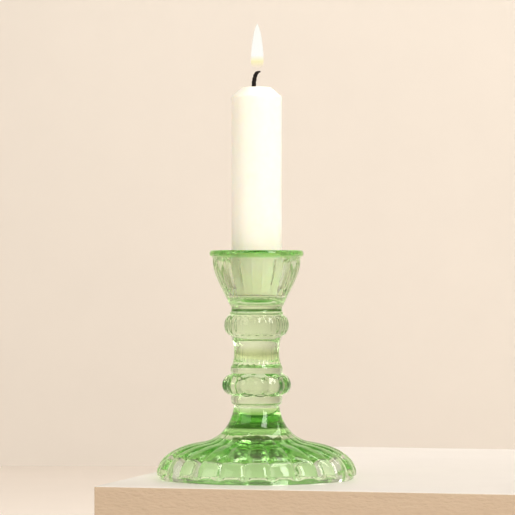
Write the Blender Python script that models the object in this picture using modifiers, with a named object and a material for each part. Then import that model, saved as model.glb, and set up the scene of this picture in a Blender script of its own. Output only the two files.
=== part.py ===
"""Pressed-glass candlestick holding a short dinner candle with its wick and flame.

The glass is one moulded piece: a fluted cup with a rolled rim, a neck ring, a lobed upper
knop, a reeded waist, a small ring, a beaded lower knop, a collar and a wide ribbed foot
that is hollow underneath. Metres, +Z up, origin at the middle of the foot's underside.
"""
import math

import bmesh
import bpy

MM = 0.001
GAP = 0.3 * MM                    # clearance kept between neighbouring pieces

# ---- driving dimensions -------------------------------------------------------------
RIM_TOP = 100.4 * MM              # height of the glass
RIM_RADIUS = 20.7 * MM
RIM_ROLL = 1.4 * MM               # half height of the rolled lip
LIP_RADIUS = 19.3 * MM            # cup wall just under the lip
NECK_HEIGHT = 75.6 * MM           # groove under the cup
NECK_RADIUS = 11.3 * MM
NECK_RING_RADIUS = 12.2 * MM
UPPER_KNOP_HEIGHT = 67.5 * MM
UPPER_KNOP_RADIUS = 14.2 * MM
WAIST_RADIUS = 9.95 * MM
WAIST_HEIGHT = 55.2 * MM
SMALL_RING_RADIUS = 11.4 * MM
SMALL_RING_HEIGHT = 47.8 * MM
LOWER_KNOP_HEIGHT = 41.2 * MM
LOWER_KNOP_RADIUS = 15.2 * MM
COLLAR_RADIUS = 11.2 * MM
COLLAR_BASE = 32.6 * MM
STEM_FOOT_RADIUS = 10.0 * MM
INSTEP_RADIUS = 24.5 * MM         # where the stem's flare becomes the foot's shoulder
INSTEP_HEIGHT = 16.0 * MM
FOOT_RADIUS = 43.9 * MM
FOOT_EDGE_HEIGHT = 3.2 * MM
RING_OUTER = 42.5 * MM            # flat ring that the foot stands on
RING_INNER = 39.6 * MM
CAVITY_RADIUS = 38.3 * MM         # hollow under the foot
CAVITY_WALL_HEIGHT = 7.8 * MM
CAVITY_APEX = 14.5 * MM

SOCKET_FLOOR = 77.6 * MM
SOCKET_FLOOR_RADIUS = 8.4 * MM
SOCKET_SEAT = 80.7 * MM           # rim of the cone that the candle's foot rests on
SOCKET_STRAIGHT = 84.0 * MM       # the socket grips the candle up to here, then it flares
MOUTH_RADIUS = 17.7 * MM

CANDLE_RADIUS = 11.0 * MM
CANDLE_TOP = 172.5 * MM
CANDLE_TOP_FLAT = 5.3 * MM        # radius of the flat left by the bevelled shoulder
CANDLE_BEVEL = 4.2 * MM           # height of the bevelled shoulder

WICK_RADIUS = 0.9 * MM
WICK_OFFSET = -1.2 * MM           # the wick sits a little off the candle's axis
WICK_TIP_X = 0.6 * MM
WICK_TIP = 179.3 * MM

FLAME_BASE = 180.4 * MM
FLAME_TIP = 200.0 * MM
FLAME_RADIUS = 2.85 * MM
FLAME_SWELL = 3.1 * MM            # height of its widest place above its base
FLAME_X = 0.3 * MM

TURN_STEPS = 72                   # a multiple of the rib count
RIB_COUNT = 24
BEAD_COUNT = 12
RIB_PHASE = math.radians(-90.0 + 8.3)      # angle of one valley between two ribs


def clear_scene():
    for item in list(bpy.data.objects):
        bpy.data.objects.remove(item, do_unlink=True)


def new_collection(name):
    collection = bpy.data.collections.new(name)
    bpy.context.scene.collection.children.link(collection)
    return collection


def make_material(name, color, roughness, metallic=0.0, transmission=0.0, emission=0.0):
    material = bpy.data.materials.new(name)
    material.use_nodes = True
    shader = material.node_tree.nodes["Principled BSDF"]
    shader.inputs["Base Color"].default_value = (*color, 1.0)
    shader.inputs["Roughness"].default_value = roughness
    shader.inputs["Metallic"].default_value = metallic
    shader.inputs["Transmission Weight"].default_value = transmission
    shader.inputs["Emission Color"].default_value = (*color, 1.0)
    shader.inputs["Emission Strength"].default_value = emission
    return material


# ---- profile curves: every one is a list of (radius, height) -------------------------
def ellipse_arc(center, radii, start_deg, end_deg, segments):
    """Points on an ellipse, from one polar angle to another."""
    points = []
    for step in range(segments + 1):
        angle = math.radians(start_deg + (end_deg - start_deg) * step / segments)
        points.append((center[0] + radii[0] * math.cos(angle),
                       center[1] + radii[1] * math.sin(angle)))
    return points


def bezier(start, pull_start, pull_end, end, segments):
    """Points on a cubic curve between two ends with two control points."""
    points = []
    for step in range(segments + 1):
        t = step / segments
        weights = ((1 - t) ** 3, 3 * t * (1 - t) ** 2, 3 * t * t * (1 - t), t ** 3)
        corners = (start, pull_start, pull_end, end)
        points.append(tuple(sum(w * corner[axis] for w, corner in zip(weights, corners))
                            for axis in (0, 1)))
    return points


def knop(height, radius, core, above, below, segments):
    """Half an ellipse that bulges out from a core radius, to unequal ends."""
    bulge = radius - core
    upper = ellipse_arc((core, height), (bulge, above), 62, 0, segments // 2)
    lower = ellipse_arc((core, height), (bulge, below), 0, -68, segments // 2)
    return upper + lower[1:]


def cup_outside():
    rim_center = (RIM_RADIUS - 1.1 * MM, RIM_TOP - RIM_ROLL)
    rim = ellipse_arc(rim_center, (1.1 * MM, RIM_ROLL), 90, -45, 4)
    wall = bezier((LIP_RADIUS, RIM_TOP - 3.0 * MM), (LIP_RADIUS + 0.1 * MM, 91.0 * MM),
                  (17.2 * MM, 87.5 * MM), (NECK_RADIUS + 0.2 * MM, NECK_HEIGHT + 0.6 * MM), 6)
    return rim + wall + [(NECK_RADIUS, NECK_HEIGHT - 0.3 * MM)]


def stem_outside():
    neck_ring = ellipse_arc((NECK_RADIUS + 0.2 * MM, 73.2 * MM),
                            (NECK_RING_RADIUS - NECK_RADIUS - 0.2 * MM, 1.5 * MM), 70, -70, 2)
    upper = knop(UPPER_KNOP_HEIGHT, UPPER_KNOP_RADIUS, 11.0 * MM, 4.6 * MM, 4.6 * MM, 6)
    waist = bezier((11.1 * MM, 61.6 * MM), (WAIST_RADIUS - 0.3 * MM, 58.0 * MM),
                   (WAIST_RADIUS - 0.3 * MM, 52.4 * MM), (11.0 * MM, 50.0 * MM), 5)
    small_ring = ellipse_arc((11.0 * MM, SMALL_RING_HEIGHT),
                             (SMALL_RING_RADIUS - 11.0 * MM, 1.5 * MM), 60, -60, 2)
    lower = knop(LOWER_KNOP_HEIGHT, LOWER_KNOP_RADIUS, COLLAR_RADIUS, 4.7 * MM, 4.3 * MM, 6)
    collar = [(COLLAR_RADIUS, 36.3 * MM), (COLLAR_RADIUS, 34.6 * MM),
              (COLLAR_RADIUS - 0.4 * MM, COLLAR_BASE + 0.3 * MM)]
    return neck_ring + upper + waist + small_ring + lower + collar


def foot_outside():
    flare = bezier((STEM_FOOT_RADIUS, COLLAR_BASE - 0.5 * MM), (10.7 * MM, 24.5 * MM),
                   (15.8 * MM, 17.3 * MM), (INSTEP_RADIUS, INSTEP_HEIGHT), 6)
    shoulder = bezier((INSTEP_RADIUS, INSTEP_HEIGHT), (35.2 * MM, 14.4 * MM),
                      (42.3 * MM, 10.6 * MM), (FOOT_RADIUS, FOOT_EDGE_HEIGHT), 6)
    edge = [(FOOT_RADIUS - 0.5 * MM, 1.4 * MM), (RING_OUTER, 0.0)]
    return flare + shoulder[1:] + edge


def underside():
    """The standing ring, then the hollow's wall and its shallow domed roof."""
    wall = [(RING_INNER, 0.0), (CAVITY_RADIUS + 0.5 * MM, 1.0 * MM),
            (CAVITY_RADIUS, CAVITY_WALL_HEIGHT)]
    roof = bezier((CAVITY_RADIUS - 1.2 * MM, CAVITY_WALL_HEIGHT + 0.9 * MM),
                  (26.0 * MM, 10.4 * MM), (12.0 * MM, CAVITY_APEX), (0.0, CAVITY_APEX), 4)
    return wall + roof


def socket_inside():
    """From the middle of the socket's floor up its seat and inner wall to the rim."""
    grip = CANDLE_RADIUS + GAP
    return [(0.0, SOCKET_FLOOR), (SOCKET_FLOOR_RADIUS, SOCKET_FLOOR),
            (grip - 0.5 * MM, SOCKET_SEAT), (grip, SOCKET_SEAT + 0.9 * MM),
            (grip + 0.1 * MM, SOCKET_STRAIGHT),
            (MOUTH_RADIUS - 0.8 * MM, RIM_TOP - 4.2 * MM),
            (MOUTH_RADIUS + 0.9 * MM, RIM_TOP - 0.8 * MM)]


# ---- relief pressed into the outside: (bottom, top, lobes, depth, fade) ----------------
RELIEF_BANDS = (
    (78.0 * MM, 97.0 * MM, RIB_COUNT, 0.55 * MM, 2.0 * MM),          # cup flutes
    (63.0 * MM, 71.8 * MM, RIB_COUNT, 0.45 * MM, 1.8 * MM),          # upper knop
    (50.6 * MM, 60.6 * MM, RIB_COUNT, 0.35 * MM, 1.2 * MM),          # waist reeds
    (37.0 * MM, 45.8 * MM, BEAD_COUNT, 0.90 * MM, 2.2 * MM),         # beads
    (1.5 * MM, 24.0 * MM, RIB_COUNT, 1.60 * MM, 4.0 * MM),           # foot ribs
)


def relief(height, angle):
    """How far the outside sits back from its turned profile at one point."""
    for bottom, top, lobes, depth, fade in RELIEF_BANDS:
        if bottom < height < top:
            ends = min(1.0, (height - bottom) / fade, (top - height) / fade)
            swell = abs(math.sin(lobes * (angle - RIB_PHASE - math.pi / BEAD_COUNT) / 2))
            return depth * ends * (1.0 - swell)
    return 0.0


# ---- solids ---------------------------------------------------------------------------
def turned_mesh(name, profile, steps):
    """Turn a (radius, height) outline round Z with a Screw modifier and keep its mesh."""
    edges = [(index, index + 1) for index in range(len(profile) - 1)]
    line = bpy.data.meshes.new(name + "_line")
    line.from_pydata([(radius, 0.0, height) for radius, height in profile], edges, [])
    turner = bpy.data.objects.new(name + "_line", line)
    bpy.context.scene.collection.objects.link(turner)
    screw = turner.modifiers.new("Turn", "SCREW")
    screw.steps = steps
    screw.render_steps = steps
    screw.use_merge_vertices = True
    screw.merge_threshold = 0.00001
    bpy.context.view_layer.update()
    turned = bpy.data.meshes.new_from_object(
        turner.evaluated_get(bpy.context.evaluated_depsgraph_get()))
    bpy.data.objects.remove(turner, do_unlink=True)
    turned.name = name
    return turned


def finish_piece(name, mesh, material, collection, sharp_deg=40):
    """Put a mesh into the model as one named, smooth-shaded object."""
    shape = bmesh.new()
    shape.from_mesh(mesh)
    bmesh.ops.remove_doubles(shape, verts=shape.verts, dist=0.00001)
    bmesh.ops.recalc_face_normals(shape, faces=shape.faces)
    shape.to_mesh(mesh)
    shape.free()
    mesh.shade_smooth()
    mesh.set_sharp_from_angle(angle=math.radians(sharp_deg))
    mesh.materials.clear()
    mesh.materials.append(material)
    piece = bpy.data.objects.new(name, mesh)
    collection.objects.link(piece)
    return piece


def build_glass(collection):
    inside = socket_inside()
    outside = cup_outside() + stem_outside() + foot_outside()
    mesh = turned_mesh("glass_candlestick", inside + outside + underside(), TURN_STEPS)
    outer_points = {(round(radius, 6), round(height, 6)) for radius, height in outside}
    phase_shift = RIB_PHASE + math.pi / BEAD_COUNT
    for vertex in mesh.vertices:
        radius = math.hypot(vertex.co.x, vertex.co.y)
        if radius < GAP:
            continue
        angle = math.atan2(vertex.co.y, vertex.co.x) + phase_shift
        if (round(radius, 6), round(vertex.co.z, 6)) in outer_points:
            radius -= relief(vertex.co.z, angle)
        vertex.co.x = radius * math.cos(angle)
        vertex.co.y = radius * math.sin(angle)
    glass = make_material("green_glass", (0.42, 0.72, 0.30), 0.03, transmission=1.0)
    return finish_piece("glass_candlestick", mesh, glass, collection)


def build_candle(collection, cutters):
    foot = SOCKET_SEAT + GAP
    profile = [(0.0, CANDLE_TOP), (CANDLE_TOP_FLAT, CANDLE_TOP),
               (CANDLE_RADIUS, CANDLE_TOP - CANDLE_BEVEL),
               (CANDLE_RADIUS, foot + 0.8 * MM), (CANDLE_RADIUS - 0.8 * MM, foot), (0.0, foot)]
    mesh = turned_mesh("candle", profile, 32)
    wax = make_material("candle_wax", (0.93, 0.89, 0.82), 0.45)
    candle = finish_piece("candle", mesh, wax, collection)
    bpy.ops.mesh.primitive_cylinder_add(
        vertices=12, radius=WICK_RADIUS + GAP, depth=CANDLE_TOP - foot + 20 * MM,
        location=(WICK_OFFSET, 0.0, (CANDLE_TOP + foot) / 2))
    bore = bpy.context.active_object
    bore.name = "wick_bore"
    bore.hide_render = True
    bore.display_type = "WIRE"
    for owner in list(bore.users_collection):
        owner.objects.unlink(bore)
    cutters.objects.link(bore)
    cut = candle.modifiers.new("Wick bore", "BOOLEAN")
    cut.operation = "DIFFERENCE"
    cut.object = bore
    return candle


def build_wick(collection):
    """Straight through the wax, then bent over to one side above it."""
    foot = SOCKET_SEAT + 2 * GAP
    bend = CANDLE_TOP + 1.2 * MM
    curl = bezier((WICK_OFFSET, bend), (WICK_OFFSET - 0.5 * MM, bend + 2.0 * MM),
                  (WICK_TIP_X - 0.8 * MM, WICK_TIP - 2.4 * MM), (WICK_TIP_X, WICK_TIP), 6)
    route = [(WICK_OFFSET, foot)] + curl
    curve = bpy.data.curves.new("wick_curve", "CURVE")
    curve.dimensions = "3D"
    curve.bevel_depth = WICK_RADIUS
    curve.bevel_resolution = 2
    curve.use_fill_caps = True
    spline = curve.splines.new("POLY")
    spline.points.add(len(route) - 1)
    for point, (x, height) in zip(spline.points, route):
        point.co = (x, 0.0, height, 1.0)
    wick = bpy.data.objects.new("wick", curve)
    curve.materials.append(make_material("charred_cotton", (0.03, 0.025, 0.022), 0.9))
    collection.objects.link(wick)
    return wick


def build_flame(collection):
    swell = FLAME_BASE + FLAME_SWELL
    lower = ellipse_arc((0.0, swell), (FLAME_RADIUS, swell - FLAME_BASE), -90, 0, 4)
    upper = bezier((FLAME_RADIUS, swell), (FLAME_RADIUS, swell + 6.5 * MM),
                   (0.8 * MM, FLAME_TIP - 4.0 * MM), (0.0, FLAME_TIP), 6)
    outline = list(reversed(lower + upper[1:]))
    mesh = turned_mesh("flame", outline, 16)
    glow = make_material("flame_glow", (1.0, 0.86, 0.55), 0.5, emission=6.0)
    flame = finish_piece("flame", mesh, glow, collection)
    flame.location.x = FLAME_X
    return flame


def main():
    clear_scene()
    collection = new_collection("glass_candlestick_set")
    cutters = new_collection("cutters")
    build_glass(collection)
    build_candle(collection, cutters)
    build_wick(collection)
    build_flame(collection)


main()
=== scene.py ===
"""Looks of the pressed-glass candlestick: glass, candle, wick, flame and a plain studio.

Laid out as a Blender add-on. Run as a script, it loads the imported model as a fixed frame,
models the fine pieces over it and places the camera and the lights.
"""

import math

import bpy
from bpy.props import FloatProperty, FloatVectorProperty, IntProperty, PointerProperty
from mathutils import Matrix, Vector


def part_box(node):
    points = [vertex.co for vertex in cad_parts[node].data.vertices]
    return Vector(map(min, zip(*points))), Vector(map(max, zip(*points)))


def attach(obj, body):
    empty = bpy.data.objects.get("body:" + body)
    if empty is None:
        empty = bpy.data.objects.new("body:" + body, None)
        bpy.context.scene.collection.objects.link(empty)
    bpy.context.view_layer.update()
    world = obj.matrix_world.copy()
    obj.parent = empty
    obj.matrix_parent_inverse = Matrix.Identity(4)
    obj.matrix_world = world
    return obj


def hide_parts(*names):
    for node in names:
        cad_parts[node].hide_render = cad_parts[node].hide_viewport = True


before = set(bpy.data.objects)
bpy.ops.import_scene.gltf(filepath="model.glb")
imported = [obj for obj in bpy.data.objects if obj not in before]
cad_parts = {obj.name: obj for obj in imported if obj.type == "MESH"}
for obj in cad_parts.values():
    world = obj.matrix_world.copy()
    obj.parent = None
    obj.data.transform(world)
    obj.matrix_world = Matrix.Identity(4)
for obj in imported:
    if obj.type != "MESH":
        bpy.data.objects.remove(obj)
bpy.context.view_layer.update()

bl_info = {
    "name": "Pressed Glass Candlestick",
    "version": (1, 0, 0),
    "blender": (4, 5, 0),
    "location": "View3D > Sidebar > Candlestick",
    "description": "Models a ribbed green glass candlestick with a lit dinner candle",
    "category": "Add Mesh",
}

MM = 0.001
GLASS_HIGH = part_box("glass_candlestick")[1]
CANDLE_LOW, CANDLE_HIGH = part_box("candle")
WICK_LOW, WICK_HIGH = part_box("wick")
FLAME_LOW, FLAME_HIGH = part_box("flame")

RIM_TOP = GLASS_HIGH.z
FOOT_RADIUS = GLASS_HIGH.x
CANDLE_RADIUS = (CANDLE_HIGH.x - CANDLE_LOW.x) / 2
SOCKET_GAP = 0.3 * MM
SOCKET_RECESS = 3.4 * MM                       # air left under the candle

RIB_COUNT = 24
BEAD_COUNT = 12
# Glass green by height. A few bands are painted light rather than the glass's own colour, as
# marked below.
GLASS_TINTS_AND_SHADE = (                                # (height in mm, colour of the glass there, with painted shade in some bands)
    (0.0, (0.98, 1.00, 0.97)), (18.4, (0.98, 1.00, 0.97)), (22.2, (0.94, 0.99, 0.88)),
    # 22.6 to 24.8 mm: painted dark reflection, a near-black band across the flare
    (22.6, (0.03, 0.08, 0.01)), (24.8, (0.06, 0.16, 0.03)), (25.8, (0.42, 0.70, 0.24)),
    (29.2, (0.50, 0.78, 0.32)), (30.6, (0.98, 1.00, 0.97)), (50.6, (0.98, 1.00, 0.97)),
    (51.4, (0.79, 0.86, 0.62)), (55.0, (0.79, 0.86, 0.62)), (59.0, (0.98, 1.00, 0.97)),
    # 73.7 to 74.5 mm: painted shade, a dark line in the groove under the cup
    (73.2, (0.98, 1.00, 0.97)), (73.7, (0.07, 0.22, 0.03)), (74.5, (0.07, 0.22, 0.03)),
    # 81 to 97 mm: the cup's green, dimmed partly as painted shade on the candle inside it
    (75.0, (0.94, 0.97, 0.88)), (81.0, (0.80, 0.835, 0.74)), (97.0, (0.80, 0.835, 0.74)),
    (98.0, (0.42, 0.70, 0.30)), (100.4, (0.42, 0.70, 0.30)))
HUB_COLOR = (0.20, 0.54, 0.11, 1.0)            # the thick middle of the foot
HUB_RADII = (38.5 * MM, 32.0 * MM)             # where its colour starts, and where it is full
HUB_HEIGHTS = (18.5 * MM, 17.0 * MM)
BEAD_EDGE_SHADE_COLOR = (0.03, 0.20, 0.02, 1.0)       # painted dark shade on the lower knop where it is seen edge on
BEAD_EDGE_SHADE_LOWER = (37.5 * MM, 39.5 * MM)        # heights where that starts and is full, from below
BEAD_EDGE_SHADE_UPPER = (44.5 * MM, 42.5 * MM)        # and from above
LAMP_LIGHT_THROUGH = 0.84                      # share of a lamp's light let straight through
LAMP_LIGHT_TINT = (0.95, 0.96, 0.90, 1.0)
VALLEY_ANGLE = math.radians(-90.0 + 8.3)       # one valley between two ribs
STEPS_PER_RIB = 12
CANDLE_STEPS, FLAME_STEPS = 96, 40             # steps round the candle and the flame
SIDE_STEPS = 24                                # steps down the candle's side
WICK_FULLNESS = 1.12                           # strands' crests against the plain wick
STRAND_DEPTH = 0.2                             # valleys between strands, against the radius
WICK_TWIST_DEG = 22.0                          # twist from one step of the wick to the next
LOBE_ROUNDNESS = 3.5                           # 2 is a round lobe, more is a flatter one
# heights in mm where one pressed pattern gives way to the next one up
KNOP_FOOT, WAIST_FOOT, UPPER_KNOP_FOOT, CUP_FOOT = 36.6, 50.0, 62.9, 76.6
FLUTE_DEPTH = 0.55 * MM                        # on the cup
LOBE_DEPTH = 0.30 * MM                         # on the upper knop
REED_DEPTH = 0.22 * MM                         # on the waist
SEAM_LOW, SEAM_HIGH = 18.0, 97.0               # heights in mm that the mould seam runs between
SEAM_STEPS = 45                                # turning steps from the valley to the seam
OUTSIDE_POINTS_MIN = 1000                      # fewer means that the outline's weights were lost
VIEW_GAMMA = 0.85                              # a camera's contrast
LIGHT_BOUNCES = 32                             # light turns many times inside thick glass

CAMERA_SIDE = 0.4 * MM                         # how far the camera stands off the object's axis
SLAB_SIZE = (0.62, 0.30, 0.12)
SLAB_PLACE = (0.2546, 0.088, -0.06)
SLAB_TURN_DEG = 14.4
BACKDROP_SIZE = 5.0
WALL_PLACE = (0.0, 1.9, 0.78)
WALL_SQUEEZE = 0.36                            # the wall's height against its width
GROUND_PLACE = (0.0, -0.6, -0.12)
LIGHT_TARGET = (0.0, 0.0, 0.08)
FILL_POWER = 10.4
WASH_POWER = 16.7
WASH_PLACE = (0.5, 0.4, 1.1)
WASH_TARGET = (0.0, 1.9, 0.15)
ORIGIN = (0.0, 0.0, 0.0)


# ---- settings ----------------------------------------------------------------------------
class GlassSettings(bpy.types.PropertyGroup):
    """Sizes and colour of the pressed glass"""
    rib_depth: FloatProperty(
        name="Foot Rib Depth", description="Depth of the valleys at the foot's widest place",
        default=1.5 * MM, unit="LENGTH")
    bead_depth: FloatProperty(
        name="Bead Depth", description="Depth of the valleys between the lower knop's beads",
        default=0.7 * MM, unit="LENGTH")
    seam_height: FloatProperty(
        name="Mould Seam", description="How far the mould seam stands proud",
        default=0.16 * MM, unit="LENGTH")
    waviness: FloatProperty(
        name="Waviness", description="Slow unevenness left by the mould",
        default=0.05 * MM, unit="LENGTH")
    ior: FloatProperty(
        name="Refraction", description="Refractive index of the glass", default=1.5)
    tint: FloatVectorProperty(
        name="Glass Green", description="Colour that a thick piece of the glass lets through",
        default=(0.45, 0.77, 0.22), size=3, subtype="COLOR", min=0.0, max=1.0)
    density: FloatProperty(
        name="Tint Strength", description="How quickly the glass takes its colour with depth",
        default=17.5)


class CandleSettings(bpy.types.PropertyGroup):
    """Sizes and colours of the candle, its wick and its flame"""
    bevel_height: FloatProperty(
        name="Shoulder Height", description="Height of the bevelled shoulder",
        default=4.2 * MM, unit="LENGTH")
    top_radius: FloatProperty(
        name="Top Radius", description="Radius of the flat that the shoulder leaves",
        default=6.2 * MM, unit="LENGTH")
    wax_color: FloatVectorProperty(
        name="Wax", description="Colour of the wax",
        default=(0.95, 0.935, 0.87), size=3, subtype="COLOR", min=0.0, max=1.0)
    strands: IntProperty(
        name="Wick Strands", description="Strands twisted together in the wick", default=3)


class StageSettings(bpy.types.PropertyGroup):
    """Camera, floor and lights"""
    camera_distance: FloatProperty(
        name="Camera Distance", description="From the object's axis to the camera",
        default=1.39, unit="LENGTH")
    lens: FloatProperty(
        name="Lens", description="Focal length", default=221.0, unit="CAMERA")
    eye_height: FloatProperty(
        name="Eye Height", description="Height of the level camera",
        default=0.0972, unit="LENGTH")
    key_power: FloatProperty(
        name="Key Power", description="Power of the tall soft window light", default=12.1)
    room_light: FloatProperty(
        name="Room Light", description="Brightness of the pale room round the horizon",
        default=0.8)
    floor_color: FloatVectorProperty(
        name="Floor", description="Colour of the pale floor's top",
        default=(0.78, 0.745, 0.71), size=3, subtype="COLOR", min=0.0, max=1.0)
    ground_color: FloatVectorProperty(
        name="Ground", description="Colour of the low ground behind the floor",
        default=(0.95, 0.885, 0.825), size=3, subtype="COLOR", min=0.0, max=1.0)
    edge_color: FloatVectorProperty(
        name="Floor Edge", description="Colour of the floor's sides",
        default=(0.60, 0.485, 0.37), size=3, subtype="COLOR", min=0.0, max=1.0)
    wall_color: FloatVectorProperty(
        name="Wall", description="Colour of the wall behind",
        default=(0.74, 0.70, 0.652), size=3, subtype="COLOR", min=0.0, max=1.0)


# ---- outlines: lists of (radius, height) ---------------------------------------------------
def ellipse_arc(center, radii, start_deg, end_deg, segments):
    """Points on an ellipse, from one polar angle to another."""
    points = []
    for step in range(segments + 1):
        angle = math.radians(start_deg + (end_deg - start_deg) * step / segments)
        points.append((center[0] + radii[0] * math.cos(angle),
                       center[1] + radii[1] * math.sin(angle)))
    return points


def bezier(start, pull_start, pull_end, end, segments):
    """Points on a cubic curve between two ends with two control points."""
    points = []
    for step in range(segments + 1):
        t = step / segments
        weights = ((1 - t) ** 3, 3 * t * (1 - t) ** 2, 3 * t * t * (1 - t), t ** 3)
        corners = (start, pull_start, pull_end, end)
        points.append(tuple(sum(w * corner[axis] for w, corner in zip(weights, corners))
                            for axis in (0, 1)))
    return points


def mm(points):
    """The same points, from millimetres into metres."""
    return [(radius * MM, height * MM) for radius, height in points]


def rim_and_cup():
    top = RIM_TOP / MM
    rim = ellipse_arc((19.55, top - 1.45), (1.15, 1.45), 90, -52, 12)
    wall = bezier((19.3, top - 3.1), (19.4, 91.0), (17.2, 87.5), (11.5, 75.8), 24)
    groove = bezier((11.5, 75.8), (11.1, 75.1), (10.9, 74.0), (11.4, 73.5), 6)
    return mm(rim + wall + groove[1:])


def neck_and_upper_knop():
    ring = ellipse_arc((11.2, 72.8), (0.6, 0.7), 65, -60, 8)
    upper = ellipse_arc((11.0, 67.5), (3.2, 4.6), 60, 0, 9)
    lower = ellipse_arc((11.0, 67.5), (3.2, 4.6), 0, -54, 11)
    step = bezier((12.88, 63.78), (12.2, 62.95), (10.95, 63.0), (10.45, 60.7), 8)
    return mm(ring + upper + lower[1:] + step)


def waist_and_small_ring():
    waist = bezier((10.4, 60.4), (9.75, 57.5), (9.5, 52.8), (10.75, 50.2), 20)
    ring = ellipse_arc((11.0, 47.9), (0.45, 1.6), 72, -72, 8)
    return mm(waist + ring)


def lower_knop_and_collar():
    upper = ellipse_arc((11.2, 41.2), (4.0, 4.7), 68, 0, 11)
    lower = ellipse_arc((11.2, 41.2), (4.0, 4.3), 0, -72, 11)
    collar = bezier((11.15, 36.4), (11.4, 35.4), (11.3, 34.0), (10.75, 33.0), 7)
    step = bezier((10.75, 33.0), (10.5, 32.6), (10.1, 32.5), (9.95, 32.3), 3)
    return mm(upper + lower[1:] + collar + step[1:])


def foot_top():
    flare = bezier((9.95, 32.3), (10.7, 24.5), (15.8, 17.3), (24.5, 16.0), 24)
    shoulder = bezier((24.5, 16.0), (35.2, 14.4), (42.3, 10.6), (43.9, 3.3), 26)
    edge = bezier((43.9, 3.3), (43.95, 2.0), (43.6, 1.5), (43.1, 1.35), 4)
    ring = bezier((42.9, 1.15), (42.8, 0.5), (42.6, 0.1), (42.0, 0.0), 4)
    return mm(flare + shoulder[1:] + edge[1:] + ring)


def foot_underside():
    bead = bezier((40.2, 0.0), (39.6, 0.05), (39.3, 0.3), (39.1, 0.9), 3)
    wall = bezier((39.0, 1.2), (38.7, 3.5), (38.1, 5.6), (37.3, 7.6), 6)
    roof = bezier((36.7, 8.3), (33.0, 9.6), (14.0, 12.6), (0.0, 14.5), 22)
    return mm(bead + wall + roof)


def socket():
    """From the middle of the socket's floor up its wall to the top of the rim."""
    grip = (CANDLE_RADIUS + SOCKET_GAP) / MM
    foot = CANDLE_LOW.z / MM
    floor = foot - SOCKET_RECESS / MM
    bottom = bezier((0.0, floor), (5.0, floor), (8.2, floor + 0.1), (9.6, floor + 1.5), 12)
    seat = bezier((9.6, floor + 1.5), (10.3, floor + 2.3), (11.1, foot - 0.6),
                  (grip, foot + 0.7), 6)
    wall = bezier((grip, foot + 0.7), (grip + 0.2, 84.5), (14.4, 92.0), (15.9, 95.4), 16)
    lip = bezier((15.9, 95.4), (17.0, 97.4), (18.3, RIM_TOP / MM - 0.4),
                 (19.4, RIM_TOP / MM), 10)
    return mm(bottom + seat[1:] + wall[1:] + lip[1:-1])


# ---- modelling helpers ---------------------------------------------------------------------
def deselect_everything():
    if bpy.context.mode != "OBJECT":
        bpy.ops.object.mode_set(mode="OBJECT")
    bpy.ops.object.select_all(action="DESELECT")


def draw_outline(name, points, angle):
    """Draw an outline from one point, by extruding it, in the plane at an angle round Z."""
    deselect_everything()
    bpy.ops.mesh.primitive_circle_add(vertices=3, radius=0.5 * MM)
    piece = bpy.context.active_object
    piece.name = name
    side = Vector((math.cos(angle), math.sin(angle), 0.0))
    spots = [side * radius + Vector((0.0, 0.0, height)) for radius, height in points]
    bpy.ops.object.mode_set(mode="EDIT")
    bpy.ops.mesh.select_all(action="SELECT")
    bpy.ops.mesh.merge(type="CENTER")
    bpy.ops.transform.translate(value=spots[0])
    for here, there in zip(spots, spots[1:]):
        bpy.ops.mesh.extrude_vertices_move(TRANSFORM_OT_translate={"value": there - here})
    bpy.ops.object.mode_set(mode="OBJECT")
    return piece


def turn_outline(steps):
    """Spin the outline just drawn once round Z and close its ends."""
    bpy.ops.object.mode_set(mode="EDIT")
    bpy.ops.mesh.select_all(action="SELECT")
    bpy.ops.mesh.spin(steps=steps, angle=math.tau, center=ORIGIN, axis=(0.0, 0.0, 1.0))
    bpy.ops.mesh.select_all(action="SELECT")
    bpy.ops.mesh.remove_doubles(threshold=0.002 * MM)
    bpy.ops.mesh.normals_make_consistent(inside=False)
    bpy.ops.object.mode_set(mode="OBJECT")


def weight_points(piece, group_name, rule):
    """Give every point of a piece a weight by its place."""
    group = piece.vertex_groups.new(name=group_name)
    for vertex in piece.data.vertices:
        weight = rule(vertex.co)
        if weight > 0.0:
            group.add([vertex.index], weight, "REPLACE")
    return group


def displace(piece, name, group_name, strength, texture=None):
    """Move a piece's points along their normals by a weight, and make it final."""
    mover = piece.modifiers.new(name, "DISPLACE")
    mover.vertex_group = group_name
    mover.strength = strength
    mover.mid_level = 0.0 if texture is None else 0.5
    mover.texture = texture
    mover.texture_coords = "LOCAL"
    bpy.ops.object.modifier_apply(modifier=mover.name)


def smooth_shade(piece, angle_deg):
    deselect_everything()
    piece.select_set(True)
    bpy.context.view_layer.objects.active = piece
    bpy.ops.object.shade_smooth_by_angle(angle=math.radians(angle_deg))


def settle(piece, body, slot, *nodes):
    """Tie a finished piece to the frame: its body and the nodes it stands for. The finish that it
    is given is not used.
    """
    piece.vertex_groups.clear()
    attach(piece, body)
    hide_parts(*nodes)


# ---- relief of the glass -------------------------------------------------------------------
def ramp(value, low, high):
    """0 below low, 1 above high, smooth between."""
    t = min(1.0, max(0.0, (value - low) / (high - low)))
    return t * t * (3.0 - 2.0 * t)


def lobe_sag(angle, lobes):
    """0 on a lobe's crest and 1 in the sharp valley between two lobes."""
    turn = lobes * (angle - VALLEY_ANGLE) / math.tau
    across = 2.0 * abs(turn - math.floor(turn) - 0.5)
    return across ** LOBE_ROUNDNESS


def swell_sag(angle, lobes):
    """The same for a soft wave, round in its valleys too."""
    return 0.5 + 0.5 * math.cos(lobes * (angle - VALLEY_ANGLE))


def band(value, low, high, fade_low, fade_high):
    """1 between low and high, fading to 0 at both over the given lengths."""
    return ramp(value, low, low + fade_low) * (1.0 - ramp(value, high - fade_high, high))


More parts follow.
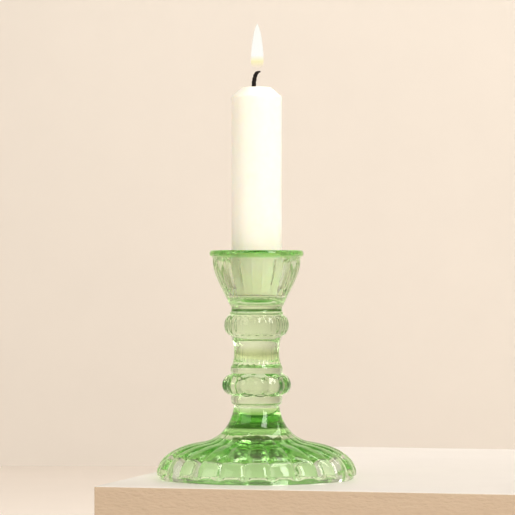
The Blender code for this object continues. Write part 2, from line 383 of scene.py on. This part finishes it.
def relief_depth(co, settings):
    """How deep the mould's pattern is pressed at one point of the outside."""
    radius = math.hypot(co.x, co.y)
    angle = math.atan2(co.y, co.x)
    height = co.z / MM
    ribs = lobe_sag(angle, RIB_COUNT)
    if height > CUP_FOOT:
        return FLUTE_DEPTH * ribs * band(height, 78.0, 97.6, 7.0, 1.6)
    if height > UPPER_KNOP_FOOT:
        lobes = swell_sag(angle, RIB_COUNT)
        return LOBE_DEPTH * lobes * band(height, UPPER_KNOP_FOOT, 71.9, 3.0, 2.4)
    if height > WAIST_FOOT:
        return REED_DEPTH * ribs * band(height, WAIST_FOOT, 61.6, 1.2, 7.0)
    if height > KNOP_FOOT:
        beads = swell_sag(angle + math.tau / RIB_COUNT, BEAD_COUNT)
        return settings.bead_depth * beads * band(height, KNOP_FOOT, 46.1, 2.0, 2.0)
    reach = settings.rib_depth * (radius / FOOT_RADIUS) ** 1.6
    return reach * ribs * ramp(height, 1.3, 2.6) * (1.0 - ramp(height, 15.0, 21.5))


def seam_mask(co):
    """1 on the crest of the two mould seams, along cup, stem and instep."""
    height = co.z / MM
    if not SEAM_LOW < height < SEAM_HIGH:
        return 0.0
    angle = math.atan2(co.y, co.x)
    step = math.tau / (RIB_COUNT * STEPS_PER_RIB)
    front_seam = VALLEY_ANGLE - SEAM_STEPS * step
    nearest = 1.0
    for seam in (front_seam, front_seam + math.pi):
        off = abs((angle - seam + math.pi) % math.tau - math.pi)
        nearest = min(nearest, off / step)
    return (1.0 - nearest) * ramp(height, SEAM_LOW, SEAM_LOW + 6.0)


# ---- materials -----------------------------------------------------------------------------
def new_material(name):
    material = bpy.data.materials.new(name)
    material.use_nodes = True
    tree = material.node_tree
    return material, tree, tree.nodes["Principled BSDF"]


def group_tree(name, inputs, outputs):
    tree = bpy.data.node_groups.new(name, "ShaderNodeTree")
    for socket_name, kind, default in inputs:
        made = tree.interface.new_socket(socket_name, in_out="INPUT", socket_type=kind)
        made.default_value = default
    for socket_name, kind in outputs:
        tree.interface.new_socket(socket_name, in_out="OUTPUT", socket_type=kind)
    return tree, tree.nodes.new("NodeGroupInput"), tree.nodes.new("NodeGroupOutput")


def fade_group(name, measure):
    """0 below Low and 1 above High, in metres of what measure finds from a place."""
    tree, given, result = group_tree(
        name, [("Low", "NodeSocketFloat", 0.0), ("High", "NodeSocketFloat", 1.0)],
        [("Mask", "NodeSocketFloat")])
    place = tree.nodes.new("ShaderNodeTexCoord")
    fade = tree.nodes.new("ShaderNodeMapRange")
    tree.links.new(measure(tree, place.outputs["Object"]), fade.inputs["Value"])
    tree.links.new(given.outputs["Low"], fade.inputs["From Min"])
    tree.links.new(given.outputs["High"], fade.inputs["From Max"])
    tree.links.new(fade.outputs["Result"], result.inputs["Mask"])
    return tree


def height_of(tree, place):
    split = tree.nodes.new("ShaderNodeSeparateXYZ")
    tree.links.new(place, split.inputs["Vector"])
    return split.outputs["Z"]


def radius_of(tree, place):
    """The distance of a place from the Z axis."""
    flat = tree.nodes.new("ShaderNodeVectorMath")
    flat.operation = "MULTIPLY"
    flat.inputs[1].default_value = (1.0, 1.0, 0.0)
    radius = tree.nodes.new("ShaderNodeVectorMath")
    radius.operation = "LENGTH"
    tree.links.new(place, flat.inputs[0])
    tree.links.new(flat.outputs["Vector"], radius.inputs[0])
    return radius.outputs["Value"]


def unevenness_group():
    """Two sizes of soft noise on Object coordinates, stretched along Z by Stretch."""
    tree, given, result = group_tree(
        "Unevenness", [("Scale", "NodeSocketFloat", 100.0), ("Fine", "NodeSocketFloat", 0.3),
                       ("Stretch", "NodeSocketFloat", 1.0)],
        [("Height", "NodeSocketFloat")])
    place = tree.nodes.new("ShaderNodeTexCoord")
    shape = tree.nodes.new("ShaderNodeCombineXYZ")
    shape.inputs["X"].default_value = 1.0
    shape.inputs["Y"].default_value = 1.0
    squash = tree.nodes.new("ShaderNodeVectorMath")
    squash.operation = "MULTIPLY"
    coarse = tree.nodes.new("ShaderNodeTexNoise")
    coarse.inputs["Detail"].default_value = 1.0
    fine = tree.nodes.new("ShaderNodeTexNoise")
    fine.inputs["Detail"].default_value = 3.0
    larger = tree.nodes.new("ShaderNodeMath")
    larger.operation = "MULTIPLY"
    larger.inputs[1].default_value = 6.0
    mix = tree.nodes.new("ShaderNodeMix")
    mix.data_type = "FLOAT"
    links = tree.links
    links.new(given.outputs["Stretch"], shape.inputs["Z"])
    links.new(place.outputs["Object"], squash.inputs[0])
    links.new(shape.outputs["Vector"], squash.inputs[1])
    links.new(squash.outputs["Vector"], coarse.inputs["Vector"])
    links.new(squash.outputs["Vector"], fine.inputs["Vector"])
    links.new(given.outputs["Scale"], coarse.inputs["Scale"])
    links.new(given.outputs["Scale"], larger.inputs[0])
    links.new(larger.outputs["Value"], fine.inputs["Scale"])
    links.new(given.outputs["Fine"], mix.inputs["Factor"])
    links.new(coarse.outputs["Fac"], mix.inputs["A"])
    links.new(fine.outputs["Fac"], mix.inputs["B"])
    links.new(mix.outputs["Result"], result.inputs["Height"])
    return tree


def add_group(tree, name, build, values):
    """Use a shared group, built the first time that it is asked for, and give its output."""
    node = tree.nodes.new("ShaderNodeGroup")
    node.node_tree = bpy.data.node_groups.get(name) or build()
    for socket_name, value in values.items():
        node.inputs[socket_name].default_value = value
    return node.outputs[0]


def add_unevenness(tree, scale, fine, stretch=1.0):
    return add_group(tree, "Unevenness", unevenness_group,
                     {"Scale": scale, "Fine": fine, "Stretch": stretch})


def add_radius_fade(tree, low, high):
    return add_group(tree, "Radius Fade", lambda: fade_group("Radius Fade", radius_of),
                     {"Low": low, "High": high})


def add_height_fade(tree, low, high):
    return add_group(tree, "Height Fade", lambda: fade_group("Height Fade", height_of),
                     {"Low": low, "High": high})


def add_bump(tree, shader, height, distance):
    bump = tree.nodes.new("ShaderNodeBump")
    bump.inputs["Distance"].default_value = distance
    tree.links.new(height, bump.inputs["Height"])
    tree.links.new(bump.outputs["Normal"], shader.inputs["Normal"])


def add_range(tree, value, low, high, from_low=0.0, from_high=1.0):
    """Turn a value that runs from from_low to from_high into one from low to high."""
    node = tree.nodes.new("ShaderNodeMapRange")
    node.inputs["From Min"].default_value = from_low
    node.inputs["From Max"].default_value = from_high
    node.inputs["To Min"].default_value = low
    node.inputs["To Max"].default_value = high
    tree.links.new(value, node.inputs["Value"])
    return node.outputs["Result"]


def add_mix(tree, factor, color, other):
    """Run from a linked colour to a plain one by a factor."""
    node = tree.nodes.new("ShaderNodeMix")
    node.data_type = "RGBA"
    node.inputs["B"].default_value = other
    tree.links.new(factor, node.inputs["Factor"])
    tree.links.new(color, node.inputs["A"])
    return node.outputs["Result"]


def multiply(tree, first, second):
    node = tree.nodes.new("ShaderNodeMath")
    node.operation = "MULTIPLY"
    tree.links.new(first, node.inputs[0])
    tree.links.new(second, node.inputs[1])
    return node.outputs["Value"]


def add_color_ramp(tree, value, stops):
    """A colour that runs through (place, colour) stops."""
    node = tree.nodes.new("ShaderNodeValToRGB")
    ends = node.color_ramp.elements
    while len(ends) < len(stops):
        ends.new(0.5)
    for element, (place, color) in zip(ends, stops):
        element.position = place
        element.color = (*color, 1.0)
    tree.links.new(value, node.inputs["Fac"])
    return node.outputs["Color"]


def glass_material(settings):
    material, tree, shader = new_material("green_pressed_glass")
    output = tree.nodes["Material Output"]
    shader.inputs["Transmission Weight"].default_value = 1.0
    shader.inputs["Metallic"].default_value = 0.0
    shader.inputs["IOR"].default_value = settings.ior
    waves = add_unevenness(tree, 160.0, 0.25)
    cloudy = add_color_ramp(tree, waves, [(0.3, (0.95, 0.98, 0.93)), (0.7, (1.0, 1.0, 1.0))])
    level = add_height_fade(tree, 0.0, RIM_TOP)
    # glass green by height, with the painted dark reflection on the flare, painted shade at the
    # neck groove and the cup dimmed partly as painted shade
    tint_and_shade = add_color_ramp(tree, level, [(height * MM / RIM_TOP, color)
                                        for height, color in GLASS_TINTS_AND_SHADE])
    blend = tree.nodes.new("ShaderNodeMix")
    blend.data_type = "RGBA"
    blend.blend_type = "MULTIPLY"
    blend.inputs["Factor"].default_value = 1.0
    tree.links.new(cloudy, blend.inputs["A"])
    tree.links.new(tint_and_shade, blend.inputs["B"])
    middle = multiply(tree, add_radius_fade(tree, *HUB_RADII),
                      add_height_fade(tree, *HUB_HEIGHTS))
    hub = add_mix(tree, middle, blend.outputs["Result"], HUB_COLOR)
    facing = tree.nodes.new("ShaderNodeLayerWeight")
    # painted shade: the lower knop's beads darken where their surface turns away from the view
    knop = multiply(tree, add_height_fade(tree, *BEAD_EDGE_SHADE_LOWER),
                    add_height_fade(tree, *BEAD_EDGE_SHADE_UPPER))
    edge = multiply(tree, knop, add_range(tree, facing.outputs["Facing"], 0.0, 1.0, 0.25, 0.5))
    tree.links.new(add_mix(tree, edge, hub, BEAD_EDGE_SHADE_COLOR), shader.inputs["Base Color"])
    tree.links.new(add_range(tree, waves, 0.0, 0.03, 0.35, 0.75), shader.inputs["Roughness"])
    add_bump(tree, shader, waves, 0.06 * MM)
    rays = tree.nodes.new("ShaderNodeLightPath")
    clear = tree.nodes.new("ShaderNodeBsdfTransparent")
    clear.inputs["Color"].default_value = LAMP_LIGHT_TINT
    both = tree.nodes.new("ShaderNodeMixShader")
    tree.links.new(add_range(tree, rays.outputs["Is Shadow Ray"], 0.0, LAMP_LIGHT_THROUGH),
                   both.inputs[0])
    tree.links.new(shader.outputs["BSDF"], both.inputs[1])
    tree.links.new(clear.outputs["BSDF"], both.inputs[2])
    tree.links.new(both.outputs["Shader"], output.inputs["Surface"])
    volume = tree.nodes.new("ShaderNodeVolumeAbsorption")
    volume.inputs["Color"].default_value = (*settings.tint, 1.0)
    volume.inputs["Density"].default_value = settings.density
    tree.links.new(volume.outputs["Volume"], output.inputs["Volume"])
    return material


def wax_material(settings):
    material, tree, shader = new_material("candle_wax")
    cloud = add_unevenness(tree, 45.0, 0.35, 0.35)
    wax = settings.wax_color
    warmer = (wax[0], wax[1] * 0.985, wax[2] * 0.95)
    tree.links.new(add_color_ramp(tree, cloud, [(0.3, warmer), (0.7, tuple(wax))]),
                   shader.inputs["Base Color"])
    tree.links.new(add_range(tree, cloud, 0.38, 0.52, 0.3, 0.7), shader.inputs["Roughness"])
    shader.inputs["Subsurface Weight"].default_value = 0.6
    shader.inputs["Subsurface Radius"].default_value = (1.0, 0.8, 0.55)
    shader.inputs["Subsurface Scale"].default_value = 3.0 * MM
    shader.inputs["Coat Weight"].default_value = 0.12
    shader.inputs["Coat Roughness"].default_value = 0.3
    grain = add_unevenness(tree, 260.0, 0.5, 0.5)
    add_bump(tree, shader, grain, 0.05 * MM)
    return material


def wick_material():
    material, tree, shader = new_material("charred_wick")
    ash = add_unevenness(tree, 900.0, 0.5)
    black = add_color_ramp(tree, ash, [(0.35, (0.012, 0.010, 0.009)), (0.7, (0.055, 0.045, 0.04))])
    shader.inputs["Roughness"].default_value = 0.85
    shader.inputs["Specular IOR Level"].default_value = 0.15
    tree.links.new(black, shader.inputs["Base Color"])
    add_bump(tree, shader, ash, 0.25 * MM)
    return material


def flame_material():
    material, tree, shader = new_material("flame_glow")
    up = add_height_fade(tree, FLAME_LOW.z, FLAME_HIGH.z)
    glow = add_color_ramp(tree, up, [(0.0, (0.98, 0.84, 0.66)), (0.15, (1.0, 0.93, 0.58)),
                                     (0.28, (1.0, 1.0, 0.96)), (1.0, (1.0, 1.0, 0.92))])
    shader.inputs["Base Color"].default_value = (0.0, 0.0, 0.0, 1.0)
    tree.links.new(glow, shader.inputs["Emission Color"])
    shader.inputs["Emission Strength"].default_value = 1.0
    shader.inputs["Roughness"].default_value = 1.0
    shader.inputs["Specular IOR Level"].default_value = 0.0
    facing = tree.nodes.new("ShaderNodeLayerWeight")
    facing.inputs["Blend"].default_value = 0.35
    body = add_range(tree, facing.outputs["Facing"], 1.0, 0.0, 0.25, 0.95)
    foot = add_height_fade(tree, FLAME_LOW.z, FLAME_LOW.z + 3.4 * MM)
    tree.links.new(multiply(tree, body, foot), shader.inputs["Alpha"])
    return material


def plain_material(name, color, roughness, grain, bump=0.0):
    """A dull surface with clouds of a slightly darker tone, and with bumps if asked for."""
    material, tree, shader = new_material(name)
    tone = add_unevenness(tree, grain, 0.4)
    darker = tuple(channel * 0.97 for channel in color)
    tree.links.new(add_color_ramp(tree, tone, [(0.3, darker), (0.7, tuple(color))]),
                   shader.inputs["Base Color"])
    shader.inputs["Roughness"].default_value = roughness
    if bump:
        add_bump(tree, shader, add_unevenness(tree, 4.0 * grain, 0.6, 2.5), bump)
    return material


# ---- operators -----------------------------------------------------------------------------
class MakeGlass(bpy.types.Operator):
    """Model the glass: turn its outline, press ribs, beads and flutes into it"""
    bl_idname = "candlestick.make_glass"
    bl_label = "Glass"

    def execute(self, context):
        settings = context.scene.candlestick_glass
        inside = socket()
        outside = (rim_and_cup() + neck_and_upper_knop() + waist_and_small_ring()
                   + lower_knop_and_collar() + foot_top())
        outline = inside + outside + foot_underside()
        piece = draw_outline("pressed_glass", outline, VALLEY_ANGLE)
        outer = piece.vertex_groups.new(name="outside")
        outer.add(list(range(len(inside), len(inside) + len(outside))), 1.0, "REPLACE")
        turn_outline(RIB_COUNT * STEPS_PER_RIB)
        outer_points = {v.index for v in piece.data.vertices
                        if any(g.group == outer.index and g.weight > 0.5 for g in v.groups)}
        if len(outer_points) < OUTSIDE_POINTS_MIN:
            raise RuntimeError("the outside of the glass was lost while turning it")
        inner_points = [v.index for v in piece.data.vertices if v.index not in outer_points]
        deepest = max(settings.bead_depth, settings.rib_depth)
        relief = weight_points(piece, "relief", lambda co: relief_depth(co, settings) / deepest)
        relief.remove(inner_points)
        weight_points(piece, "seam", seam_mask).remove(inner_points)
        displace(piece, "Pressed pattern", "relief", -deepest)
        displace(piece, "Mould seam", "seam", settings.seam_height)
        clouds = bpy.data.textures.new("mould_waves", "CLOUDS")
        clouds.noise_scale = 7.0 * MM
        clouds.noise_depth = 1
        displace(piece, "Waviness", "outside", settings.waviness, clouds)
        smooth_shade(piece, 60.0)
        piece.data.materials.append(glass_material(settings))
        settle(piece, "holder", "green_glass", "glass_candlestick")
        return {"FINISHED"}


class MakeCandle(bpy.types.Operator):
    """Model the candle: a turned stick of wax with a bevelled shoulder and a melted dish"""
    bl_idname = "candlestick.make_candle"
    bl_label = "Candle"

    def execute(self, context):
        settings = context.scene.candlestick_candle
        top = CANDLE_HIGH.z - 0.4 * MM
        foot = CANDLE_LOW.z
        edge = top - settings.bevel_height
        flat = settings.top_radius
        straight = edge - 0.8 * MM
        rounding = 0.9 * MM
        dish = bezier((0.0, top - 0.9 * MM), (flat * 0.5, top - 0.9 * MM),
                      (flat * 0.7, top - 0.1 * MM), (flat - 0.5 * MM, top), 10)
        lip = bezier((flat - 0.5 * MM, top), (flat, top), (flat + 0.2 * MM, top - 0.1 * MM),
                     (flat + 0.5 * MM, top - 0.45 * MM), 4)
        shoulder = bezier((flat + 0.5 * MM, top - 0.45 * MM), (flat + 2.0 * MM, top - 1.6 * MM),
                          (CANDLE_RADIUS - 1.6 * MM, edge + 1.35 * MM),
                          (CANDLE_RADIUS - 0.45 * MM, edge + 0.5 * MM), 6)
        turn = bezier((CANDLE_RADIUS - 0.45 * MM, edge + 0.5 * MM),
                      (CANDLE_RADIUS - 0.1 * MM, edge + 0.2 * MM),
                      (CANDLE_RADIUS, edge - 0.1 * MM), (CANDLE_RADIUS, straight), 4)
        side = [(CANDLE_RADIUS, straight + (foot + rounding - straight) * step / SIDE_STEPS)
                for step in range(1, SIDE_STEPS + 1)]
        base = ellipse_arc((CANDLE_RADIUS - rounding, foot + rounding),
                           (rounding, rounding), 0, -90, 4)
        outline = dish + lip[1:] + shoulder[1:] + turn[1:] + side + base[1:] + [(0.0, foot)]
        piece = draw_outline("dinner_candle", outline, 0.0)
        turn_outline(CANDLE_STEPS)
        weight_points(piece, "skin", lambda co: 1.0 if co.z > foot + 2 * MM else 0.0)
        dents = bpy.data.textures.new("wax_dents", "CLOUDS")
        dents.noise_scale = 9.0 * MM
        displace(piece, "Soft dents", "skin", 0.10 * MM, dents)
        smooth_shade(piece, 75.0)
        piece.data.materials.append(wax_material(settings))
        settle(piece, "lit_candle", "candle_wax", "candle")
        return {"FINISHED"}


class MakeWick(bpy.types.Operator):
    """Model the wick: twisted strands that rise through the candle and bend over above it"""
    bl_idname = "candlestick.make_wick"
    bl_label = "Wick"

    def execute(self, context):
        settings = context.scene.candlestick_candle
        middle = (WICK_LOW.y + WICK_HIGH.y) / 2
        wick_radius = (WICK_HIGH.y - WICK_LOW.y) / 2 * WICK_FULLNESS
        root = WICK_LOW.x + wick_radius
        top = CANDLE_HIGH.z
        tip = WICK_HIGH.z - 0.2 * MM
        curl = bezier((root, top - 1.0 * MM), (root - 0.2 * MM, top + 2.2 * MM),
                      (root + 0.6 * MM, tip - 0.4 * MM), (root + 2.2 * MM, tip - 0.6 * MM), 30)
        spots = [Vector((root, middle, WICK_LOW.z)), Vector((root, middle, top - 4.0 * MM))]
        spots += [Vector((x, middle, height)) for x, height in curl]
        deselect_everything()
        bpy.ops.mesh.primitive_circle_add(vertices=18, radius=wick_radius, fill_type="NGON",
                                          location=spots[0])
        piece = bpy.context.active_object
        piece.name = "braided_wick"
        bpy.ops.object.transform_apply(location=True, rotation=True, scale=True)
        for vertex in piece.data.vertices:
            away = vertex.co - spots[0]
            turn = math.atan2(away.y, away.x)
            groove = (0.5 - 0.5 * math.cos(settings.strands * turn)) ** 2
            vertex.co = spots[0] + away * (1.0 - STRAND_DEPTH * groove)
        bpy.ops.object.mode_set(mode="EDIT")
        bpy.ops.mesh.select_all(action="SELECT")
        lean = 0.0
        for index, (here, there) in enumerate(zip(spots, spots[1:])):
            step = there - here
            bpy.ops.mesh.extrude_region_move(TRANSFORM_OT_translate={"value": step})
            new_lean = math.atan2(step.x, step.z)
            bpy.ops.transform.rotate(value=-(new_lean - lean), orient_axis="Y",
                                     center_override=there)
            lean = new_lean
            if index > 1:
                bpy.ops.transform.rotate(value=math.radians(WICK_TWIST_DEG), orient_axis="Z",
                                         center_override=there)
                slim = 0.998 if index < len(spots) - 3 else 0.95       # the tip narrows more
                bpy.ops.transform.resize(value=(slim, slim, slim), center_override=there)
        bpy.ops.mesh.select_all(action="SELECT")
        bpy.ops.mesh.normals_make_consistent(inside=False)
        bpy.ops.object.mode_set(mode="OBJECT")
        smooth_shade(piece, 70.0)
        piece.data.materials.append(wick_material())
        settle(piece, "lit_candle", "charred_wick", "wick")
        return {"FINISHED"}


class MakeFlame(bpy.types.Operator):
    """Model the flame: a slim turned drop that stands over the wick's tip"""
    bl_idname = "candlestick.make_flame"
    bl_label = "Flame"

    def execute(self, context):
        low, high = FLAME_LOW.z, FLAME_HIGH.z
        radius = (FLAME_HIGH.x - FLAME_LOW.x) / 2
        swell = low + 3.1 * MM
        tall = high - swell
        upper = bezier((0.0, high), (1.6 * MM, high - tall * 0.12),
                       (radius * 0.95, high - tall * 0.6), (radius, swell), 20)
        lower = bezier((radius, swell), (radius, swell - 2.6 * MM),
                       (radius * 0.55, low), (0.0, low), 12)
        piece = draw_outline("candle_flame", upper + lower[1:], 0.0)
        turn_outline(FLAME_STEPS)
        bpy.ops.object.mode_set(mode="EDIT")
        bpy.ops.mesh.select_all(action="SELECT")
        shift = (FLAME_HIGH.x + FLAME_LOW.x) / 2
        bpy.ops.transform.translate(value=(shift, 0.0, 0.0))
        bpy.ops.object.mode_set(mode="OBJECT")
        smooth_shade(piece, 80.0)
        piece.data.materials.append(flame_material())
        settle(piece, "lit_candle", "flame_glow", "flame")
        return {"FINISHED"}


def place_round(azimuth_deg, elevation_deg, distance):
    """A place at a distance from the lights' target, by its direction; azimuth 0 is in front."""
    azimuth = math.radians(azimuth_deg)
    elevation = math.radians(elevation_deg)
    return (distance * math.sin(azimuth) * math.cos(elevation),
            -distance * math.cos(azimuth) * math.cos(elevation),
            LIGHT_TARGET[2] + distance * math.sin(elevation))


def area_light(name, place, target, size, power, color):
    """A soft rectangular light at a place, turned to its target."""
    data = bpy.data.lights.new(name, "AREA")
    data.shape = "RECTANGLE"
    data.size, data.size_y = size
    data.energy = power
    data.color = color
    light = bpy.data.objects.new(name, data)
    bpy.context.scene.collection.objects.link(light)
    light.location = place
    way = Vector(target) - light.location
    light.rotation_euler = way.to_track_quat("-Z", "Y").to_euler()


def add_slab(settings):
    """The block that the candlestick stands on, with a smooth top and rougher sides."""
    deselect_everything()
    bpy.ops.mesh.primitive_cube_add(size=1.0)
    slab = bpy.context.active_object
    slab.name = "pale_floor"
    bpy.ops.object.mode_set(mode="EDIT")
    bpy.ops.mesh.select_all(action="SELECT")
    bpy.ops.transform.resize(value=SLAB_SIZE)
    bpy.ops.transform.translate(value=SLAB_PLACE)
    bpy.ops.mesh.bevel(offset=0.6 * MM, segments=3)
    bpy.ops.transform.rotate(value=math.radians(SLAB_TURN_DEG), orient_axis="Z",
                             center_override=ORIGIN)
    bpy.ops.object.mode_set(mode="OBJECT")
    slab.data.materials.append(
        plain_material("pale_floor", settings.floor_color, 0.45, 30.0))
    slab.data.materials.append(
        plain_material("floor_edge", settings.edge_color, 0.8, 14.0, 0.8 * MM))
    for face in slab.data.polygons:
        face.material_index = 0 if face.normal.z > 0.5 else 1
    return slab


def add_backdrop(name, place, color, upright):
    """A large plain sheet, standing or lying."""
    deselect_everything()
    bpy.ops.mesh.primitive_plane_add(size=BACKDROP_SIZE)
    sheet = bpy.context.active_object
    sheet.name = name
    bpy.ops.object.mode_set(mode="EDIT")
    bpy.ops.mesh.select_all(action="SELECT")
    if upright:
        bpy.ops.transform.rotate(value=math.radians(90.0), orient_axis="X",
                                 center_override=ORIGIN)
        bpy.ops.transform.resize(value=(1.0, 1.0, WALL_SQUEEZE))
    bpy.ops.transform.translate(value=place)
    bpy.ops.object.mode_set(mode="OBJECT")
    sheet.data.materials.append(plain_material(name, color, 0.9, 3.0))
    return sheet


def light_room(scene, strength):
    """Surround the scene with a pale horizon under a darker ceiling."""
    world = bpy.data.worlds.new("Studio")
    scene.world = world
    world.use_nodes = True
    tree = world.node_tree
    sky = tree.nodes["Background"]
    sky.inputs["Strength"].default_value = strength
    where = tree.nodes.new("ShaderNodeTexCoord")
    tone = add_color_ramp(tree, height_of(tree, where.outputs["Generated"]),
                          [(0.0, (0.95, 0.87, 0.77)), (0.35, (0.90, 0.82, 0.72)),
                           (0.75, (0.26, 0.24, 0.20))])
    tree.links.new(tone, sky.inputs["Color"])


class MakeStage(bpy.types.Operator):
    """Place the camera, the pale floor, the wall and the soft studio lights"""
    bl_idname = "candlestick.make_stage"
    bl_label = "Stage"

    def execute(self, context):
        settings = context.scene.candlestick_stage
        scene = context.scene
        scene.view_settings.view_transform = "Standard"
        scene.view_settings.gamma = VIEW_GAMMA
        scene.cycles.max_bounces = LIGHT_BOUNCES
        scene.cycles.glossy_bounces = LIGHT_BOUNCES
        scene.cycles.transmission_bounces = LIGHT_BOUNCES
        lens = bpy.data.cameras.new("Camera")
        lens.lens = settings.lens
        lens.sensor_width = 36.0
        camera = bpy.data.objects.new("Camera", lens)
        scene.collection.objects.link(camera)
        camera.location = (CAMERA_SIDE, -settings.camera_distance, settings.eye_height)
        camera.rotation_euler = (math.radians(90.0), 0.0, 0.0)
        scene.camera = camera

        floor = add_slab(settings)
        wall = add_backdrop("pale_wall", WALL_PLACE, settings.wall_color, True)
        ground = add_backdrop("pale_ground", GROUND_PLACE, settings.ground_color, False)

        light_room(scene, settings.room_light)
        area_light("window", place_round(42.0, 38.0, 1.3), LIGHT_TARGET, (0.42, 1.0),
                   settings.key_power, (1.0, 0.98, 0.95))
        area_light("fill", place_round(-55.0, 25.0, 1.8), LIGHT_TARGET, (1.4, 1.4),
                   FILL_POWER, (1.0, 0.97, 0.93))
        area_light("wall_wash", WASH_PLACE, WASH_TARGET, (1.6, 0.8), WASH_POWER,
                   (1.0, 0.97, 0.94))
        return {"FINISHED"}


class CandlestickPanel(bpy.types.Panel):
    """Lists the pieces of the candlestick in the order they are made"""
    bl_idname = "VIEW3D_PT_candlestick"
    bl_label = "Candlestick"
    bl_space_type = "VIEW_3D"
    bl_region_type = "UI"
    bl_category = "Candlestick"

    def draw(self, context):
        for maker in MAKERS:
            self.layout.operator(maker.bl_idname, text=maker.bl_label)
        for group_name in SETTINGS:
            group = getattr(context.scene, group_name)
            box = self.layout.box()
            for name in group.__annotations__:
                box.prop(group, name)


SETTINGS = {
    "candlestick_glass": GlassSettings,
    "candlestick_candle": CandleSettings,
    "candlestick_stage": StageSettings,
}
MAKERS = (MakeStage, MakeGlass, MakeCandle, MakeWick, MakeFlame)
CLASSES = (*SETTINGS.values(), *MAKERS, CandlestickPanel)


def register():
    for cls in CLASSES:
        bpy.utils.register_class(cls)
    for name, cls in SETTINGS.items():
        setattr(bpy.types.Scene, name, PointerProperty(type=cls))


def unregister():
    for name in SETTINGS:
        delattr(bpy.types.Scene, name)
    for cls in reversed(CLASSES):
        bpy.utils.unregister_class(cls)


def main():
    register()
    bpy.ops.candlestick.make_stage()
    bpy.ops.candlestick.make_glass()
    bpy.ops.candlestick.make_candle()
    bpy.ops.candlestick.make_wick()
    bpy.ops.candlestick.make_flame()


if __name__ == "__main__":
    main()
